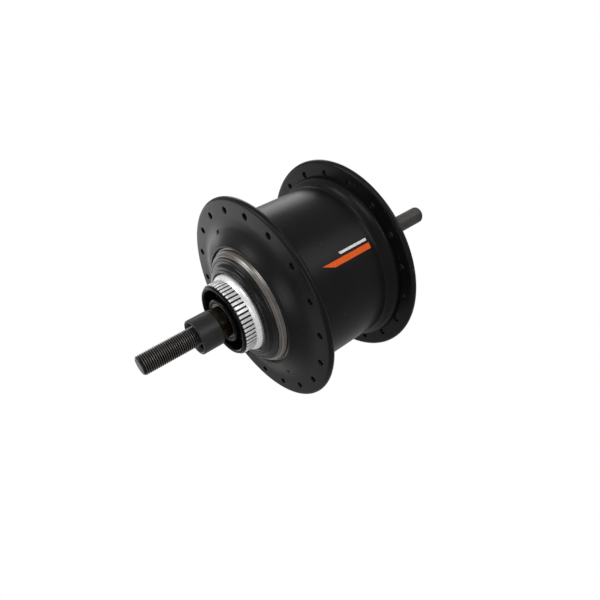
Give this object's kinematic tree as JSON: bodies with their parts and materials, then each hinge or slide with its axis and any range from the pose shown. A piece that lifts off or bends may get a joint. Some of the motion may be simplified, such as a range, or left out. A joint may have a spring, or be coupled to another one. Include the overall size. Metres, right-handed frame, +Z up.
{
  "type": "bicycle hub gear",
  "caption": "Internally geared rear bicycle hub with a black flanged shell, threaded axle, serrated brake boss and planetary gear train inside.",
  "frame": {"origin": "middle of the axle, which is the middle of the whole hub", "axes": "+Y along the axle to the brake (left) side, +X forward, +Z up"},
  "size_m": [0.1044, 0.184, 0.1044],
  "materials": {
    "shell_paint": "semi-gloss black paint",
    "axle_steel": "black oxide, rolled thread",
    "boss_alloy": "bright machined",
    "ring_steel": "turned steel, grey-brown",
    "black_plastic": "satin moulded black",
    "sleeve_plastic": "dark grey moulded",
    "seal_rubber": "black rubber",
    "greased_steel": "browned steel with grease",
    "bearing_steel": "polished balls",
    "pressed_steel": "pressed sheet",
    "gear_steel": "ground gear steel",
    "carrier_steel": "machined steel",
    "driver_steel": "machined steel",
    "shift_plastic": "moulded black"
  },
  "bodies": {
    "axle_assembly": {"axle": "axle_steel", "left_cone": "greased_steel", "left_cone_seal": "seal_rubber", "left_lock_nut": "greased_steel", "spacer_sleeve": "sleeve_plastic", "right_cone": "driver_steel", "right_lock_washer": "driver_steel", "right_lock_nut": "driver_steel", "sun_gear_1": "gear_steel", "sun_gear_4": "gear_steel", "sun_pawl_2": "gear_steel", "sun_pawl_3": "gear_steel"},
    "shell": {"hub_shell": "shell_paint", "left_end_cap": "ring_steel", "left_seal_cap": "black_plastic", "brake_boss": "boss_alloy", "left_ball_cup": "gear_steel", "left_dust_cap": "black_plastic", "clutch_ring": "gear_steel", "ratchet_ring": "gear_steel", "right_ball_cup": "driver_steel"},
    "left_ball_set": {"left_balls": "bearing_steel", "left_ball_retainer": "pressed_steel"},
    "right_ball_set": {"right_balls": "bearing_steel", "right_ball_retainer": "pressed_steel"},
    "driver_ball_set": {"driver_balls": "bearing_steel", "driver_ball_retainer": "pressed_steel"},
    "driver": {"driver": "driver_steel", "reduction_ring_gear": "gear_steel", "driver_dust_cap": "black_plastic", "driver_end_seal": "seal_rubber"},
    "carrier": {"planet_carrier": "carrier_steel", "step_planet_pins": "gear_steel", "reduction_planet_pins": "gear_steel", "clutch_rollers": "bearing_steel", "clutch_cage": "pressed_steel"},
    "output_ring": {"output_ring_gear": "gear_steel"},
    "shift_actuator": {"shift_actuator": "shift_plastic"},
    "step_planet_1": {"step_planet_1": "gear_steel"},
    "reduction_planet_1": {"reduction_planet_1": "gear_steel"},
    "ring_pawl_1": {"ring_pawl_1": "gear_steel"},
    "step_planet_2": {"step_planet_2": "gear_steel"},
    "reduction_planet_2": {"reduction_planet_2": "gear_steel"},
    "ring_pawl_2": {"ring_pawl_2": "gear_steel"},
    "step_planet_3": {"step_planet_3": "gear_steel"},
    "reduction_planet_3": {"reduction_planet_3": "gear_steel"},
    "ring_pawl_3": {"ring_pawl_3": "gear_steel"},
    "sun_gear_2": {"sun_gear_2": "gear_steel"},
    "sun_gear_3": {"sun_gear_3": "gear_steel"},
    "sun_pawl_1": {"sun_pawl_1": "gear_steel"},
    "sun_pawl_4": {"sun_pawl_4": "gear_steel"}
  },
  "joints": [
    {"name": "shell_spin", "type": "hinge", "parent": "axle_assembly", "child": "shell", "pos_m": [0, 0, 0], "axis": [0, 1, 0], "continuous": true},
    {"name": "driver_spin", "type": "hinge", "parent": "axle_assembly", "child": "driver", "pos_m": [0, -0.047, 0], "axis": [0, 1, 0], "continuous": true},
    {"name": "carrier_spin", "type": "hinge", "parent": "axle_assembly", "child": "carrier", "pos_m": [0, 0.002, 0], "axis": [0, 1, 0], "continuous": true},
    {"name": "output_ring_spin", "type": "hinge", "parent": "axle_assembly", "child": "output_ring", "pos_m": [0, 0.005, 0], "axis": [0, 1, 0], "continuous": true},
    {"name": "left_ball_set_spin", "type": "hinge", "parent": "axle_assembly", "child": "left_ball_set", "pos_m": [0, 0.037, 0], "axis": [0, 1, 0], "continuous": true},
    {"name": "right_ball_set_spin", "type": "hinge", "parent": "axle_assembly", "child": "right_ball_set", "pos_m": [0, -0.028, 0], "axis": [0, 1, 0], "continuous": true},
    {"name": "driver_ball_set_spin", "type": "hinge", "parent": "axle_assembly", "child": "driver_ball_set", "pos_m": [0, -0.047, 0], "axis": [0, 1, 0], "continuous": true},
    {"name": "sun_gear_2_spin", "type": "hinge", "parent": "axle_assembly", "child": "sun_gear_2", "pos_m": [0, 0.019, 0], "axis": [0, 1, 0], "continuous": true},
    {"name": "sun_gear_3_spin", "type": "hinge", "parent": "axle_assembly", "child": "sun_gear_3", "pos_m": [0, 0.012, 0], "axis": [0, 1, 0], "continuous": true},
    {"name": "step_planet_1_spin", "type": "hinge", "parent": "carrier", "child": "step_planet_1", "pos_m": [0.02025, 0.012, 0], "axis": [0, 1, 0], "continuous": true},
    {"name": "step_planet_2_spin", "type": "hinge", "parent": "carrier", "child": "step_planet_2", "pos_m": [-0.01013, 0.012, 0.01754], "axis": [0, 1, 0], "continuous": true},
    {"name": "step_planet_3_spin", "type": "hinge", "parent": "carrier", "child": "step_planet_3", "pos_m": [-0.01013, 0.012, -0.01754], "axis": [0, 1, 0], "continuous": true},
    {"name": "reduction_planet_1_spin", "type": "hinge", "parent": "carrier", "child": "reduction_planet_1", "pos_m": [0.009, -0.009, 0.01559], "axis": [0, 1, 0], "continuous": true},
    {"name": "reduction_planet_2_spin", "type": "hinge", "parent": "carrier", "child": "reduction_planet_2", "pos_m": [-0.018, -0.009, 0], "axis": [0, 1, 0], "continuous": true},
    {"name": "reduction_planet_3_spin", "type": "hinge", "parent": "carrier", "child": "reduction_planet_3", "pos_m": [0.009, -0.009, -0.01559], "axis": [0, 1, 0], "continuous": true},
    {"name": "ring_pawl_1_fold", "type": "hinge", "parent": "output_ring", "child": "ring_pawl_1", "pos_m": [-0.003, -0.0035, 0.0323], "axis": [0, 1, 0], "range_deg": [0, 13], "stiffness_Nm_per_rad": 0.0005, "springref_deg": -20.05},
    {"name": "ring_pawl_2_fold", "type": "hinge", "parent": "output_ring", "child": "ring_pawl_2", "pos_m": [-0.02647, -0.0035, -0.01875], "axis": [0, 1, 0], "range_deg": [0, 13], "stiffness_Nm_per_rad": 0.0005, "springref_deg": -20.05},
    {"name": "ring_pawl_3_fold", "type": "hinge", "parent": "output_ring", "child": "ring_pawl_3", "pos_m": [0.02947, -0.0035, -0.01355], "axis": [0, 1, 0], "range_deg": [0, 13], "stiffness_Nm_per_rad": 0.0005, "springref_deg": -20.05},
    {"name": "sun_pawl_1_fold", "type": "hinge", "parent": "axle_assembly", "child": "sun_pawl_1", "pos_m": [-0.002, -0.006, 0.0058], "axis": [0, 1, 0], "range_deg": [0, 15], "stiffness_Nm_per_rad": 0.0001, "springref_deg": -20.05},
    {"name": "sun_pawl_4_fold", "type": "hinge", "parent": "axle_assembly", "child": "sun_pawl_4", "pos_m": [0.002, 0.005, 0.0058], "axis": [0, 1, 0], "range_deg": [-15, 0], "stiffness_Nm_per_rad": 0.0001, "springref_deg": 20.05},
    {"name": "shift_turn", "type": "hinge", "parent": "axle_assembly", "child": "shift_actuator", "pos_m": [0, -0.055, 0], "axis": [0, 1, 0], "range_deg": [-66, 88]}
  ],
  "couplings": [
    {"joint": "driver_spin", "follows": "shell_spin", "ratio": 1.1843},
    {"joint": "carrier_spin", "follows": "shell_spin", "ratio": 0.61905},
    {"joint": "output_ring_spin", "follows": "shell_spin", "ratio": 1},
    {"joint": "left_ball_set_spin", "follows": "shell_spin", "ratio": 0.63925},
    {"joint": "right_ball_set_spin", "follows": "shell_spin", "ratio": 1.0848},
    {"joint": "driver_ball_set_spin", "follows": "shell_spin", "ratio": 0.70078},
    {"joint": "sun_gear_2_spin", "follows": "shell_spin", "ratio": -0.92857},
    {"joint": "sun_gear_3_spin", "follows": "shell_spin", "ratio": -0.37143},
    {"joint": "step_planet_1_spin", "follows": "shell_spin", "ratio": 1.2381},
    {"joint": "step_planet_2_spin", "follows": "shell_spin", "ratio": 1.2381},
    {"joint": "step_planet_3_spin", "follows": "shell_spin", "ratio": 1.2381},
    {"joint": "reduction_planet_1_spin", "follows": "shell_spin", "ratio": 1.8571},
    {"joint": "reduction_planet_2_spin", "follows": "shell_spin", "ratio": 1.8571},
    {"joint": "reduction_planet_3_spin", "follows": "shell_spin", "ratio": 1.8571}
  ]
}
